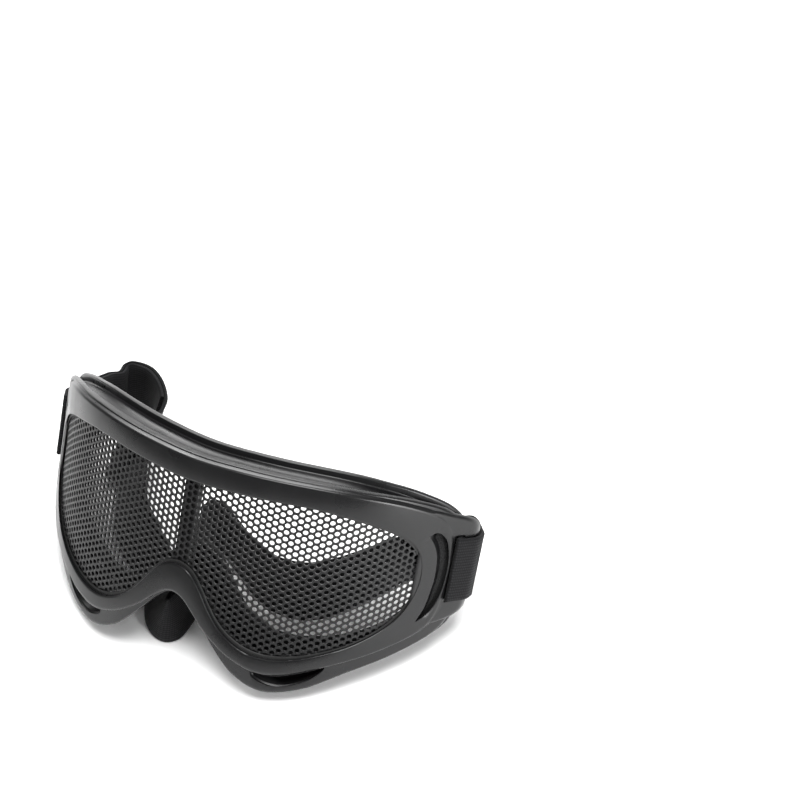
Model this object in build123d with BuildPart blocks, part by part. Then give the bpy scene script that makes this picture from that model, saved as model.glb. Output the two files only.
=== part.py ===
"""Mesh safety goggles with an elastic head strap, lying as they do when set down.

The goggles are drawn in their own leaning frame: X to the viewer's right, depth towards
the face, height up the lens. The model's own frame has +Z up, and the floor at z = 0.
"""

import os
from math import ceil, cos, hypot, radians, sin, sqrt

from build123d import *

os.makedirs("parts", exist_ok=True)

# How the goggles lean on the floor, and where the middle of their lens stands
lean_angle = 29.1
place_y = -37.664

# The lens opening and the rim round it
opening_half_width = 78.0
opening_height = 61.3
rim_width = 10.0

# Half outline from the brow to the nose: where the opening's edge lies, as shares of its half
# width and height, where the rim's outer edge lies from there, as shares of the rim width, and
# how far across the rim the raised face reaches
outline_shares = [
    (0, 0.413, 0, 0.89, 0.92),
    (0.26, 0.427, 0.03, 0.87, 0.92),
    (0.542, 0.439, 0.07, 0.83, 0.92),
    (0.705, 0.411, 0.3, 0.9, 0.92),
    (0.851, 0.356, 0.46, 1.04, 0.9),
    (0.947, 0.274, 0.76, 1.08, 0.85),
    (0.994, 0.142, 0.86, 0.93, 0.78),
    (0.994, -0.046, 0.9, -0.12, 0.76),
    (0.94, -0.241, 1.15, -0.37, 0.72),
    (0.826, -0.39, 1.11, -0.43, 0.6),
    (0.685, -0.488, 0.86, -0.72, 0.5),
    (0.553, -0.545, 0.62, -1.2, 0.44),
    (0.436, -0.556, 0.3, -1.45, 0.43),
    (0.335, -0.515, 0.04, -1.33, 0.46),
    (0.249, -0.436, -0.06, -1.11, 0.6),
    (0.182, -0.333, -0.16, -1.01, 0.8),
    (0.133, -0.241, -0.25, -1.01, 0.88),
    (0.074, -0.157, -0.19, -1.16, 0.9),
    (0, -0.127, 0, -1.22, 0.9),
]
rows_between = 2
lobe_row = 11.5

# Wrap of the lens round the face, and of the rear edge that the foam sits on
wrap_reach = 80.0
lens_bow = 25.4
lens_wrap = 15.0
rear_depth = 16.5
rear_bow = 28.9
rear_wrap = 5.2
wrap_span = 90.0
wrap_steps = 12
overrun = 6.0

# Frame shell
rim_front = 0.6
rim_lip = 1.3
face_plate = 3.8
rim_roundness = 0.9
band_set_back = 1.6
band_share = 0.1
shoulder_depth = 2.2
shoulder_share = 0.3
flange_root = 0.6
flange_share = 0.87
flange_seat = 1.8
flange_width = 9.0
flange_lip = 0.6
flange_rise = 1.6
wall = 2.4
groove = 1.3

# Vents in the rim, and the foam behind them, as rows of the outline and shares across the rim
side_vent_shares = [
    (5.3, 0.45), (5.55, 0.6), (6.1, 0.63), (6.49, 0.68), (6.86, 0.68), (7.2, 0.64), (7.59, 0.6),
    (7.85, 0.45), (7.5, 0.43), (7.09, 0.38), (6.62, 0.39), (6.21, 0.36), (5.75, 0.37),
]
lower_vent_shares = [
    (12.28, 0.57), (11.7, 0.48), (10.9, 0.47), (10.35, 0.51), (10.7, 0.68), (11.08, 0.73),
    (11.53, 0.75), (11.97, 0.68),
]
side_foam_shares = [
    (5.3, 0.42), (5.6, 0.57), (6.5, 0.59), (7.3, 0.59), (7.95, 0.54), (7.95, 0.36), (7.1, 0.3), (6.3, 0.3),
]
lower_foam_shares = [
    (12.4, 0.5), (11.6, 0.36), (10.8, 0.36), (10.15, 0.42), (10.4, 0.57), (11.5, 0.58), (12.2, 0.58),
]
vent_depth = 8.4
vent_foam_thickness = 1.5

# Lens, its edge trim and the bar behind it
fit_gap = 0.1
curve_gap = 0.25
lens_lap = 1.6
lens_thickness = 0.8
trim_lap = 2.4
trim_inside = 0.9
trim_lip = 0.45
hole_pitch = 5.7
hole_web = 1.5
hole_margin = 1.0
bar_width = 5.6
bar_depth = 4.4
bar_overlap = 3.6
bar_corner = 1.2

# Face foam
foam_thickness = 6.0
foam_inset = 3.0
foam_width = 8.0
foam_corner = 1.5

# Strap lugs
lug_half_width = 91.2
lug_height = 24.5
lug_drop = 14.5
lug_root = 80.0
lug_front = 1.0
lug_thickness = 6.0
lug_corner = 4.0
lug_bar = 2.8
slot_width = 2.1
slot_overlength = 1.6

# Elastic webbing
webbing_width = 25.0
webbing_thickness = 1.4
webbing_centre = 5.0
webbing_gap = 0.3
webbing_seam = 0.1
floor_gap = 0.05
inner_turn = 0.9
outer_turn = 1.5
leg_turn = 3.0
slack_leg = 3.0
slant_length = 5.0
left_leg_end = 86.0
right_leg_end = 74.0
sewn_end = 73.0

# Strap slide and the webbing end sewn round its middle bar
slide_half_length = 7.5
slide_bar = 2.4
slide_thickness = 2.0
slide_rail = 2.0
middle_bar = 3.4
middle_bar_thickness = 1.5
slide_corner = 0.7
tab_length = 12.0
tab_slant = 2.5

# Stitches that close the two sewn ends
stitch_length = 2.4
stitch_width = 0.6
stitch_height = 0.35
stitch_spacing = 4.0
stitch_row_spacing = 2.2
stitch_rows = 2
stitches_in_row = 6

# Strap route from the left lug to the right one. Each line is the lower edge's place across and
# along the floor and its height, then how far the upper edge leans across and along, as shares of
# the strap's spread, chosen to follow the real lie.
strap_spread = 100.0
fold_shares = [
    (-0.917, 0.782, 0.014, 0.005, 0.100),
    (-0.900, 0.836, 0.002, 0.015, 0.070),
    (-0.858, 0.872, 0.000, 0.020, 0.035),
    (-0.806, 0.855, 0.000, 0.045, 0.030),
    (-0.778, 0.790, 0.008, 0.085, 0.050),
    (-0.768, 0.710, 0.022, 0.120, 0.066),
    (-0.750, 0.620, 0.038, 0.131, 0.073),
]
left_run_shares = [
    (-0.735, 0.593, 0.038, 0.131, 0.073),
    (-0.619, 0.384, 0.038, 0.131, 0.073),
    (-0.604, 0.357, 0.038, 0.131, 0.073),
    (-0.540, 0.262, 0.020, 0.128, 0.080),
    (-0.450, 0.190, 0.004, 0.125, 0.085),
    (-0.360, 0.130, 0.000, 0.125, 0.075),
    (-0.280, 0.070, 0.000, 0.145, 0.060),
]
bight_shares = [
    (-0.245, 0.015, 0.000, 0.150, 0.035),
    (-0.205, -0.035, 0.000, 0.125, 0.015),
    (-0.150, -0.070, 0.000, 0.085, 0.030),
    (-0.100, -0.076, 0.000, 0.040, 0.045),
    (-0.062, -0.045, 0.000, 0.005, 0.050),
    (-0.055, 0.015, 0.000, 0.000, 0.045),
    (-0.060, 0.090, 0.000, -0.010, 0.040),
    (-0.080, 0.180, 0.000, -0.030, 0.040),
    (-0.112, 0.270, 0.000, -0.045, 0.055),
    (-0.138, 0.338, 0.000, -0.045, 0.068),
    (-0.128, 0.372, 0.000, -0.040, 0.070),
    (-0.095, 0.368, 0.000, -0.035, 0.072),
]
right_run_shares = [
    (-0.020, 0.325, 0.000, -0.025, 0.075),
    (0.080, 0.265, 0.000, -0.010, 0.072),
    (0.180, 0.224, 0.000, 0.000, 0.080),
    (0.280, 0.222, 0.000, -0.010, 0.090),
    (0.360, 0.252, 0.000, -0.020, 0.090),
    (0.450, 0.333, 0.000, -0.030, 0.075),
    (0.515, 0.440, 0.000, -0.025, 0.040),
    (0.562, 0.550, 0.000, -0.010, 0.010),
]
right_end_shares = [
    (0.620, 0.640, 0.005, -0.012, 0.020),
    (0.690, 0.695, 0.015, -0.015, 0.035),
    (0.775, 0.735, 0.032, -0.015, 0.055),
    (0.855, 0.725, 0.055, -0.012, 0.080),
    (0.905, 0.675, 0.078, -0.005, 0.105),
]
steps_between = 2


def lens_depth(x):
    """Depth of the lens side of the goggles at a distance from the middle."""
    u = x / wrap_reach
    return lens_bow * u**2 + lens_wrap * u**4


def rear_edge(x):
    """Depth of the rear edge, where the foam sits."""
    u = x / wrap_reach
    return rear_depth + rear_bow * u**2 + rear_wrap * u**4


def between(share):
    """Depth curve the given share of the way from the lens side to the rear edge."""
    return lambda x: lens_depth(x) * (1 - share) + rear_edge(x) * share


def behind(curve, distance):
    """Depth curve moved back by a distance."""
    return lambda x: curve(x) + distance


def smooth(before, start, end, after, part):
    """A value on the smooth curve through four even ones, part of the way from start to end."""
    slope_in = (end - before) / 2
    slope_out = (after - start) / 2
    bend = 2 * start - 2 * end + slope_in + slope_out
    lean_in = 3 * end - 3 * start - 2 * slope_in - slope_out
    return start + part * (slope_in + part * (lean_in + part * bend))


def outline_row(row):
    """Shares of the half outline at any row, smooth between the ones given."""
    last = len(outline_shares) - 1
    low = min(int(row), last - 1)
    mirrored = (-1, 1, -1, 1, 1)
    before = outline_shares[low - 1] if low else outline_shares[1]
    after = outline_shares[low + 2] if low + 2 <= last else outline_shares[-2]
    if not low:
        before = [a * b for a, b in zip(before, mirrored)]
    if low + 2 > last:
        after = [a * b for a, b in zip(after, mirrored)]
    four = zip(before, outline_shares[low], outline_shares[low + 1], after)
    return [smooth(*values, row - low) for values in four]


def outline_point(row, grow):
    """A point of the half outline, the given distance outside the opening's edge."""
    px, pz, ox, oz, _ = outline_row(row)
    return (opening_half_width * px + grow * ox, opening_height * pz + grow * oz)


def raised(row, grow, rise):
    """How far outside the opening's edge a point lies once its ring is set higher on the face."""
    _, _, ox, oz, _ = outline_row(row)
    return grow + rise * oz / (ox**2 + oz**2)


rows = [i / rows_between for i in range(rows_between * (len(outline_shares) - 1) + 1)]

lean = radians(lean_angle)
lobe_x, lobe_z = outline_point(lobe_row, raised(lobe_row, rim_width + flange_lip, flange_rise))
rest_height = rear_edge(lobe_x) * sin(lean) - lobe_z * cos(lean)
middle = (0, place_y, rest_height)
front_plane = Plane(origin=middle, x_dir=(1, 0, 0), z_dir=(0, -cos(lean), sin(lean)))
plan_plane = Plane(origin=middle, x_dir=(1, 0, 0), z_dir=(0, sin(lean), cos(lean)))
reach = opening_half_width + lug_half_width


def ring(profile):
    """A closed ring round the opening, lofted through one section at each row of the outline.

    profile(row) gives the section's corners as pairs: how far outside the opening's edge, and
    the depth curve that the corner follows.
    """
    with BuildPart() as blank:
        for row in rows:
            px, pz, ox, oz, _ = outline_row(row)
            across = front_plane.x_dir * ox + front_plane.y_dir * oz
            origin = front_plane.from_local_coords((opening_half_width * px, opening_height * pz, 0))
            section = Plane(origin=origin, x_dir=across, z_dir=across.cross(-front_plane.z_dir))
            corners = []
            for grow, curve in profile(row):
                x, _ = outline_point(row, grow)
                corners.append((grow * across.length, curve(x)))
            with BuildSketch(section):
                with BuildLine():
                    Polyline(*corners, close=True)
                make_face()
        loft(ruled=True)
        mirror(about=Plane.YZ)
    return blank.part


def curved_slab(front_curve, front, rear_curve, rear, span):
    """The space between two depth curves that wrap round the face."""
    stations = [span * (2 * i / wrap_steps - 1) for i in range(wrap_steps + 1)]
    with BuildPart() as slab:
        with BuildSketch(plan_plane):
            with BuildLine():
                near = Spline(*[(x, front_curve(x) + front) for x in stations])
                far = Spline(*[(x, rear_curve(x) + rear) for x in stations])
                Line(near @ 0, far @ 0)
                Line(near @ 1, far @ 1)
            make_face()
        extrude(amount=opening_height, both=True)
    return slab.part


def vent_points(shares, side):
    """Points of a vent or its foam, on one side of the goggles."""
    spots = [outline_point(row, rim_width * share) for row, share in shares]
    return [(side * x, z) for x, z in spots]


def frame_profile(row):
    """Section of the frame: raised face, stepped band, groove, rear flange, cavity and lens pocket."""
    crease = rim_width * outline_row(row)[4]
    front = behind(lens_depth, rim_front)
    band = behind(between(band_share), band_set_back)
    shoulder = behind(between(shoulder_share), shoulder_depth)
    flange_front = behind(between(flange_share), -flange_root)
    seat = behind(rear_edge, -flange_seat)
    pocket = behind(front, rim_lip)
    plate = behind(front, face_plate)
    lip = raised(row, rim_width + flange_lip, flange_rise)
    shell = raised(row, rim_width - groove, flange_rise / 2)
    inner_edge = raised(row, rim_width - flange_width, flange_rise)
    corner = rim_roundness / 2
    return [
        (0, behind(front, corner)),
        (corner, front),
        (crease - rim_roundness, front),
        (crease, behind(front, corner)),
        (crease, behind(band, -corner)),
        (crease + corner, band),
        (rim_width - corner, band),
        (rim_width, behind(band, rim_roundness)),
        (rim_width, shoulder),
        (rim_width - groove, behind(shoulder, corner)),
        (shell, flange_front),
        (lip, flange_front),
        (lip, rear_edge),
        (inner_edge, rear_edge),
        (inner_edge, seat),
        (shell - wall, seat),
        (rim_width - groove - wall, plate),
        (trim_lap + fit_gap, plate),
        (trim_lap + fit_gap, pocket),
        (0, pocket),
    ]


slot_outer = lug_half_width - lug_bar
slot_middle = slot_outer - slot_width / 2
slot_length = webbing_width + slot_overlength
frame_ring = ring(frame_profile)
lug_slab = curved_slab(lens_depth, lug_front, lens_depth, lug_front + lug_thickness, wrap_span + overrun)
vent_slab = curved_slab(lens_depth, -overrun, lens_depth, rim_front + vent_depth, wrap_span)

# Holes that run from the rim's face into the frame's cavity
with BuildPart() as vents:
    with BuildSketch(front_plane):
        for side in (-1, 1):
            for shares in (side_vent_shares, lower_vent_shares):
                with BuildLine():
                    Polyline(*vent_points(shares, side), close=True)
                make_face()
    extrude(amount=reach, both=True)
    add(vent_slab, mode=Mode.INTERSECT)

# Frame: one moulding with rim, shell, rear flange and the two strap lugs
with BuildPart() as goggle_frame:
    with BuildSketch(front_plane):
        with BuildLine():
            ear = FilletPolyline(
                (lug_root, lug_height + lug_corner),
                (lug_half_width - lug_corner / 2, lug_height),
                (lug_half_width, lug_height - lug_corner),
                (lug_half_width, lug_corner - lug_drop),
                (lug_half_width - lug_corner / 2, -lug_drop),
                (lug_root, -lug_drop - lug_corner),
                radius=lug_corner / 3,
            )
            Line(ear @ 1, ear @ 0)
        make_face()
        mirror(about=Plane.YZ)
    extrude(amount=reach, both=True)
    add(lug_slab, mode=Mode.INTERSECT)
    with BuildSketch(front_plane):
        with BuildLine():
            Polyline(*[outline_point(row, rim_width - groove - wall / 2) for row in rows])
            mirror(about=Plane.YZ)
        make_face()
    extrude(amount=reach, both=True, mode=Mode.SUBTRACT)
    add(frame_ring)
    add(vents.part, mode=Mode.SUBTRACT)
    with BuildSketch(front_plane):
        with Locations((-slot_middle, webbing_centre), (slot_middle, webbing_centre)):
            Rectangle(slot_width, slot_length)
    extrude(amount=reach, both=True, mode=Mode.SUBTRACT)
goggle_frame.part.label = "goggle_frame"
export_step(goggle_frame.part, "parts/goggle_frame.step")

# Edge trim: a channel round the lens, pressed into the frame's pocket
trim_front = rim_front + rim_lip + fit_gap
trim_rear = trim_front + 2 * trim_lip + 2 * curve_gap + lens_thickness


def trim_profile(row):
    """Section of the edge trim, open towards the lens."""
    front = behind(lens_depth, trim_front)
    rear = behind(lens_depth, trim_rear)
    channel = lens_lap + curve_gap
    return [
        (-trim_inside, front),
        (trim_lap, front),
        (trim_lap, rear),
        (-trim_inside, rear),
        (-trim_inside, behind(rear, -trim_lip)),
        (channel, behind(rear, -trim_lip)),
        (channel, behind(front, trim_lip)),
        (-trim_inside, behind(front, trim_lip)),
    ]


trim_ring = ring(trim_profile)
with BuildPart() as lens_edge_trim:
    add(trim_ring)
lens_edge_trim.part.label = "lens_edge_trim"
export_step(lens_edge_trim.part, "parts/lens_edge_trim.step")


def inside(point, loop):
    """Whether a point lies inside a closed loop of points."""
    x, z = point
    crossings = 0
    for (x0, z0), (x1, z1) in zip(loop, loop[1:] + loop[:1]):
        if (z0 > z) != (z1 > z) and x < x0 + (x1 - x0) * (z - z0) / (z1 - z0):
            crossings += 1
    return crossings % 2 == 1


def whole_outline(grow):
    """Points of the whole outline, the given distance outside the opening's edge."""
    half = [outline_point(row, grow) for row in rows]
    return half + [(-x, z) for x, z in half[-2:0:-1]]


# Lens: one pressed sheet with close-packed six-sided holes in upright columns
lens_front = trim_front + trim_lip + curve_gap
lens_slab = curved_slab(lens_depth, lens_front, lens_depth, lens_front + lens_thickness, wrap_span)
hole_flats = hole_pitch - hole_web
column_spacing = hole_pitch * sqrt(3) / 2
columns = ceil(opening_half_width / column_spacing)
holes_up = ceil(opening_height / hole_pitch)
hole_edge = whole_outline(-trim_inside - hole_margin - hole_flats / 2)
hole_centres = []
for column in range(-columns, columns + 1):
    for step in range(-holes_up, holes_up + 1):
        centre = (column * column_spacing, (step + column % 2 / 2) * hole_pitch)
        if inside(centre, hole_edge):
            hole_centres.append(centre)
print("holes in the lens", len(hole_centres))

hole_corners = [Vector(hole_flats / sqrt(3), 0).rotate(Axis.Z, 60 * i) for i in range(6)]
hole_wires = [Wire.make_polygon([Vector(x, z) + corner for corner in hole_corners]) for x, z in hole_centres]
lens_face = Face(Wire.make_polygon(whole_outline(lens_lap)), hole_wires)

with BuildPart() as mesh_lens:
    with BuildSketch(front_plane):
        add(lens_face)
    extrude(amount=reach, both=True)
    add(lens_slab, mode=Mode.INTERSECT)
mesh_lens.part.label = "mesh_lens"
export_step(mesh_lens.part, "parts/mesh_lens.step")

# Centre bar: a strip behind the lens, its ends on the rear of the rim's face
plate_rear = rim_front + face_plate
bar_front = lens_front + lens_thickness + fit_gap
bar_rear = bar_front + bar_depth
bar_seat = plate_rear + fit_gap
last_row = len(outline_shares) - 1
bar_spans = [
    (start, outline_point(0, grow)[1], outline_point(last_row, grow)[1])
    for start, grow in ((bar_front, -trim_inside - fit_gap), (bar_seat, bar_overlap))
]
with BuildPart() as lens_centre_bar:
    for start, top, bottom in bar_spans:
        with BuildSketch(front_plane.offset(-start)):
            with Locations((0, (top + bottom) / 2)):
                Rectangle(bar_width, top - bottom)
        extrude(amount=start - bar_rear)
    rear_face = lens_centre_bar.faces().sort_by(Axis(origin=middle, direction=-front_plane.z_dir))[-1]
    fillet(rear_face.edges(), radius=bar_corner)
lens_centre_bar.part.label = "lens_centre_bar"
export_step(lens_centre_bar.part, "parts/lens_centre_bar.step")


def foam_profile(row):
    """Section of the face foam, rounded towards the face."""
    outer = raised(row, rim_width - foam_inset, flange_rise)
    inner = outer - foam_width
    seat = behind(rear_edge, curve_gap)
    side = behind(rear_edge, foam_thickness - foam_corner)
    face = behind(rear_edge, foam_thickness)
    return [
        (outer, seat),
        (outer, side),
        (outer - foam_corner, face),
        (inner + foam_corner, face),
        (inner, side),
        (inner, seat),
    ]


# Face foam: a soft ring on the rear flange
foam_ring = ring(foam_profile)
with BuildPart() as face_foam:
    add(foam_ring)
face_foam.part.label = "face_foam"
export_step(face_foam.part, "parts/face_foam.step")

# Vent foams: thin pads inside the frame, behind each vent
pad_front = plate_rear + curve_gap
pad_slab = curved_slab(lens_depth, pad_front, lens_depth, pad_front + vent_foam_thickness, wrap_span)
pads = [
    ("vent_foam_side_left", side_foam_shares, -1),
    ("vent_foam_side_right", side_foam_shares, 1),
    ("vent_foam_lower_left", lower_foam_shares, -1),
    ("vent_foam_lower_right", lower_foam_shares, 1),
]
for name, shares, side in pads:
    with BuildPart() as vent_foam:
        with BuildSketch(front_plane):
            with BuildLine():
                Polyline(*vent_points(shares, side), close=True)
            make_face()
        extrude(amount=reach, both=True)
        add(pad_slab, mode=Mode.INTERSECT)
    vent_foam.part.label = name
    export_step(vent_foam.part, f"parts/{name}.step")

# Strap ends that pass round the lugs' bars
half_webbing = webbing_thickness / 2
outer_leg = lug_half_width + webbing_gap + half_webbing
bar_slope = (lens_depth(lug_half_width) - lens_depth(slot_outer)) / lug_bar
bar_clearance = (webbing_gap + half_webbing) * hypot(1, bar_slope)


def turn_depth(x):
    """Depth of the webbing's middle where it passes in front of a lug's bar."""
    return lens_depth(slot_outer) + lug_front + (x - slot_outer) * bar_slope - bar_clearance


lug_rear = lens_depth(slot_outer) + lug_front + lug_thickness
webbing_low = plan_plane.offset(webbing_centre - webbing_width / 2)
layer_step = webbing_thickness + webbing_gap
seam_step = webbing_thickness + webbing_seam
loops = [
    ("strap_loop_left", -1, left_leg_end, left_leg_end, outer_leg - layer_step),
    ("strap_loop_right", 1, right_leg_end, sewn_end, outer_leg - seam_step),
]
for name, side, outer_end, inner_end, inner_leg in loops:
    with BuildPart() as strap_loop:
        with BuildSketch(webbing_low):
            with BuildLine():
                FilletPolyline(
                    (side * outer_leg, outer_end),
                    (side * outer_leg, turn_depth(outer_leg)),
                    (side * slot_middle, turn_depth(slot_middle)),
                    (side * slot_middle, lug_rear + slack_leg),
                    (side * inner_leg, lug_rear + slack_leg + slant_length),
                    (side * inner_leg, inner_end),
                    radius=[outer_turn, inner_turn, leg_turn, leg_turn],
                )
            trace(line_width=webbing_thickness)
        extrude(amount=webbing_width)
    strap_loop.part.label = name
    export_step(strap_loop.part, f"parts/{name}.step")


def leg_station(side, depth):
    """Lower edge and upward direction of the webbing where a lug's outer leg ends."""
    low = plan_plane.from_local_coords((side * outer_leg, depth, webbing_centre - webbing_width / 2))
    return (low, plan_plane.z_dir * webbing_width)


def floor_station(shares):
    """Lower edge and upward direction of the webbing at one line of the route."""
    x, y, z, lean_x, lean_y = [strap_spread * share for share in shares]
    lean_z = sqrt(webbing_width**2 - lean_x**2 - lean_y**2)
    corner_drop = webbing_thickness / 2 * hypot(lean_x, lean_y) / webbing_width
    return (Vector(x, y + place_y, z + corner_drop + floor_gap), Vector(lean_x, lean_y, lean_z))


route = [leg_station(-1, left_leg_end)]
route += [floor_station(shares) for shares in fold_shares + left_run_shares + bight_shares]
route += [floor_station(shares) for shares in right_run_shares + right_end_shares]
route += [leg_station(1, right_leg_end)]


def route_frame(place):
    """Middle, upward, forward and sideways directions of the webbing at any place of the route."""
    last = len(route) - 1
    low = min(int(place), last - 1)
    part = place - low
    leg = plan_plane.y_dir * (route[low + 1][0] - route[low][0]).length
    before = route[low - 1] if low else (route[1][0] - leg * 2, route[0][1])
    after = route[low + 2] if low + 2 <= last else (route[low][0] - leg * 2, route[last][1])
    base = smooth(before[0], route[low][0], route[low + 1][0], after[0], part)
    up = smooth(before[1], route[low][1], route[low + 1][1], after[1], part).normalized()
    slope_in = (route[low + 1][0] - before[0]) / 2
    slope_out = (after[0] - route[low][0]) / 2
    span = route[low + 1][0] - route[low][0]
    forward = slope_in * (1 - part) * (1 - 3 * part) + slope_out * part * (3 * part - 2)
    forward += span * 6 * part * (1 - part)
    forward = (forward - up * forward.dot(up)).normalized()
    return (base + up * (webbing_width / 2), up, forward, forward.cross(up))


def webbing(start, end, shift):
    """Webbing along the route between two of its lines, moved sideways by a shift."""
    with BuildPart() as blank:
        for i in range((end - start) * steps_between + 1):
            centre, up, forward, sideways = route_frame(start + i / steps_between)
            with BuildSketch(Plane(origin=centre + sideways * shift, x_dir=up, z_dir=forward)):
                Rectangle(webbing_width, webbing_thickness)
        loft(ruled=True)
    return blank.part


fold_end = len(fold_shares)
run_end = fold_end + len(left_run_shares)
bight_end = run_end + len(bight_shares)
right_end = bight_end + len(right_run_shares)
stretches = [
    ("strap_fold_outer", 0, fold_end, 0),
    ("strap_fold_inner", 0, fold_end - 1, layer_step),
    ("strap_run_left", fold_end, run_end, 0),
    ("strap_bight", run_end, bight_end, 0),
    ("strap_run_right", bight_end, right_end, 0),
    ("strap_end_right", right_end, len(route) - 1, 0),
]
for name, start, end, shift in stretches:
    stretch = webbing(start, end, shift)
    with BuildPart() as strap_stretch:
        add(stretch)
    strap_stretch.part.label = name
    export_step(strap_stretch.part, f"parts/{name}.step")

# Strap slide: two outer bars, a middle bar on the other side of the strap and two rails
run_start, run_up, run_forward, run_side = route_frame(fold_end + 1)
slide_middle = run_start + run_forward * (slide_half_length + webbing_gap)
slide_plane = Plane(origin=slide_middle, x_dir=run_forward, z_dir=run_up)
slide_front = half_webbing + webbing_gap
middle_front = half_webbing + webbing_gap + webbing_thickness + webbing_gap
middle_rear = middle_front + middle_bar_thickness
rail_low = webbing_width / 2 + webbing_gap
slide_width = 2 * (rail_low + slide_rail)
outer_bar_place = slide_half_length - slide_bar / 2

with BuildPart() as strap_slide:
    with BuildSketch(slide_plane.offset(-slide_width / 2)):
        for side in (-1, 1):
            with Locations((side * outer_bar_place, slide_front + slide_thickness / 2)):
                Rectangle(slide_bar, slide_thickness)
    extrude(amount=slide_width)
    for side in (-1, 1):
        start = rail_low if side > 0 else -rail_low - slide_rail
        with BuildSketch(slide_plane.offset(start)):
            with Locations((0, slide_front + slide_thickness / 2)):
                Rectangle(2 * slide_half_length, slide_thickness)
            with Locations((0, (slide_front + slide_thickness - middle_rear) / 2)):
                Rectangle(middle_bar, slide_front + slide_thickness + middle_rear)
        extrude(amount=slide_rail)
    with BuildSketch(slide_plane.offset(-rail_low)):
        with Locations((0, -(middle_front + middle_rear) / 2)):
            Rectangle(middle_bar, middle_bar_thickness)
    extrude(amount=2 * rail_low)
    upright = strap_slide.edges().filter_by(Axis(origin=slide_middle, direction=run_up))
    fillet(upright, radius=slide_corner)
strap_slide.part.label = "strap_slide"
export_step(strap_slide.part, "parts/strap_slide.step")

# Webbing end sewn round the slide's middle bar
tab_front = middle_bar / 2 + 2 * webbing_gap + half_webbing
tab_far = -middle_rear - webbing_gap - half_webbing
tab_sewn = -layer_step - seam_step
with BuildPart() as strap_slide_tab:
    with BuildSketch(slide_plane.offset(-webbing_width / 2)):
        with BuildLine():
            FilletPolyline(
                (-tab_length, -layer_step),
                (tab_front, -layer_step),
                (tab_front, tab_far),
                (-middle_bar / 2 - webbing_gap, tab_far),
                (-middle_bar / 2 - webbing_gap - tab_slant, tab_sewn),
                (-tab_length + webbing_seam, tab_sewn),
                radius=[outer_turn, outer_turn, inner_turn, inner_turn],
            )
        trace(line_width=webbing_thickness)
    extrude(amount=webbing_width)
strap_slide_tab.part.label = "strap_slide_tab"
export_step(strap_slide_tab.part, "parts/strap_slide_tab.step")

# Stitches, standing on the sewn layers
sewn_start = lug_rear + slack_leg + slant_length
right_sewn_face = outer_leg - seam_step - half_webbing
tab_sewn_middle = -(tab_length + middle_bar / 2 + webbing_gap + tab_slant) / 2
seams = [
    (
        "strap_stitching_right",
        plan_plane.from_local_coords((right_sewn_face, (sewn_start + sewn_end) / 2, webbing_centre)),
        plan_plane.z_dir,
        -plan_plane.x_dir,
    ),
    (
        "strap_stitching_slide",
        slide_plane.from_local_coords((tab_sewn_middle, tab_sewn - half_webbing, 0)),
        run_up,
        run_side,
    ),
]
for name, seam_middle, along, out in seams:
    with BuildPart() as strap_stitching:
        with BuildSketch(Plane(origin=seam_middle, x_dir=along, z_dir=out)):
            with GridLocations(stitch_spacing, stitch_row_spacing, stitches_in_row, stitch_rows):
                Rectangle(stitch_length, stitch_width)
        extrude(amount=stitch_height)
    strap_stitching.part.label = name
    export_step(strap_stitching.part, f"parts/{name}.step")

print("slide runs along", run_forward)
print("rest height", rest_height)
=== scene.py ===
from bisect import bisect_right
from math import cos, hypot, pi, radians, sin, sqrt

import bmesh
import bpy
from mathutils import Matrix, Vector


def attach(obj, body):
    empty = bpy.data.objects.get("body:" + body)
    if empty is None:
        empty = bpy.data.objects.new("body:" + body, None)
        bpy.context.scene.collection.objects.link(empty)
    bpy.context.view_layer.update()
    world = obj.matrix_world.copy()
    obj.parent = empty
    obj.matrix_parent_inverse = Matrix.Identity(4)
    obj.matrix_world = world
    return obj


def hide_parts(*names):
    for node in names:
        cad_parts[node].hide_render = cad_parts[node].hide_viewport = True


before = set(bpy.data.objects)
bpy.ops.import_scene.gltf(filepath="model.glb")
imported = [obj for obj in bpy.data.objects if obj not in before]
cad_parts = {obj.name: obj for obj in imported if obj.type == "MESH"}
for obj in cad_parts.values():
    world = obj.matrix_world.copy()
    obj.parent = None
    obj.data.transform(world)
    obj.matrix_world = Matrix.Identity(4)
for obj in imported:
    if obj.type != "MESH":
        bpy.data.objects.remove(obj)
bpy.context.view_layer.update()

# Camera: the photograph is taken from the goggles' right, above the brow, with a long lens held
# slightly turned.
bpy.ops.object.camera_add(
    location=(0.28988, -0.3614, 0.55679),
    rotation=[radians(angle) for angle in (44.129, 3.107, 27.696)],
)
camera = bpy.context.object
camera.data.sensor_width = 36
camera.data.lens = 83.48
camera.data.clip_start = 0.01
bpy.context.scene.camera = camera

# Frame: one injection moulding in black ABS. The raised face holds the lens, a lower band runs
# round it, and behind a groove the rear flange turns outwards to carry the foam.
LEAN = radians(29.1)
MIDDLE = Vector((0, -37.664, 53.439))
OPENING = (78, 61.3)
RIM = 10
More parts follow.
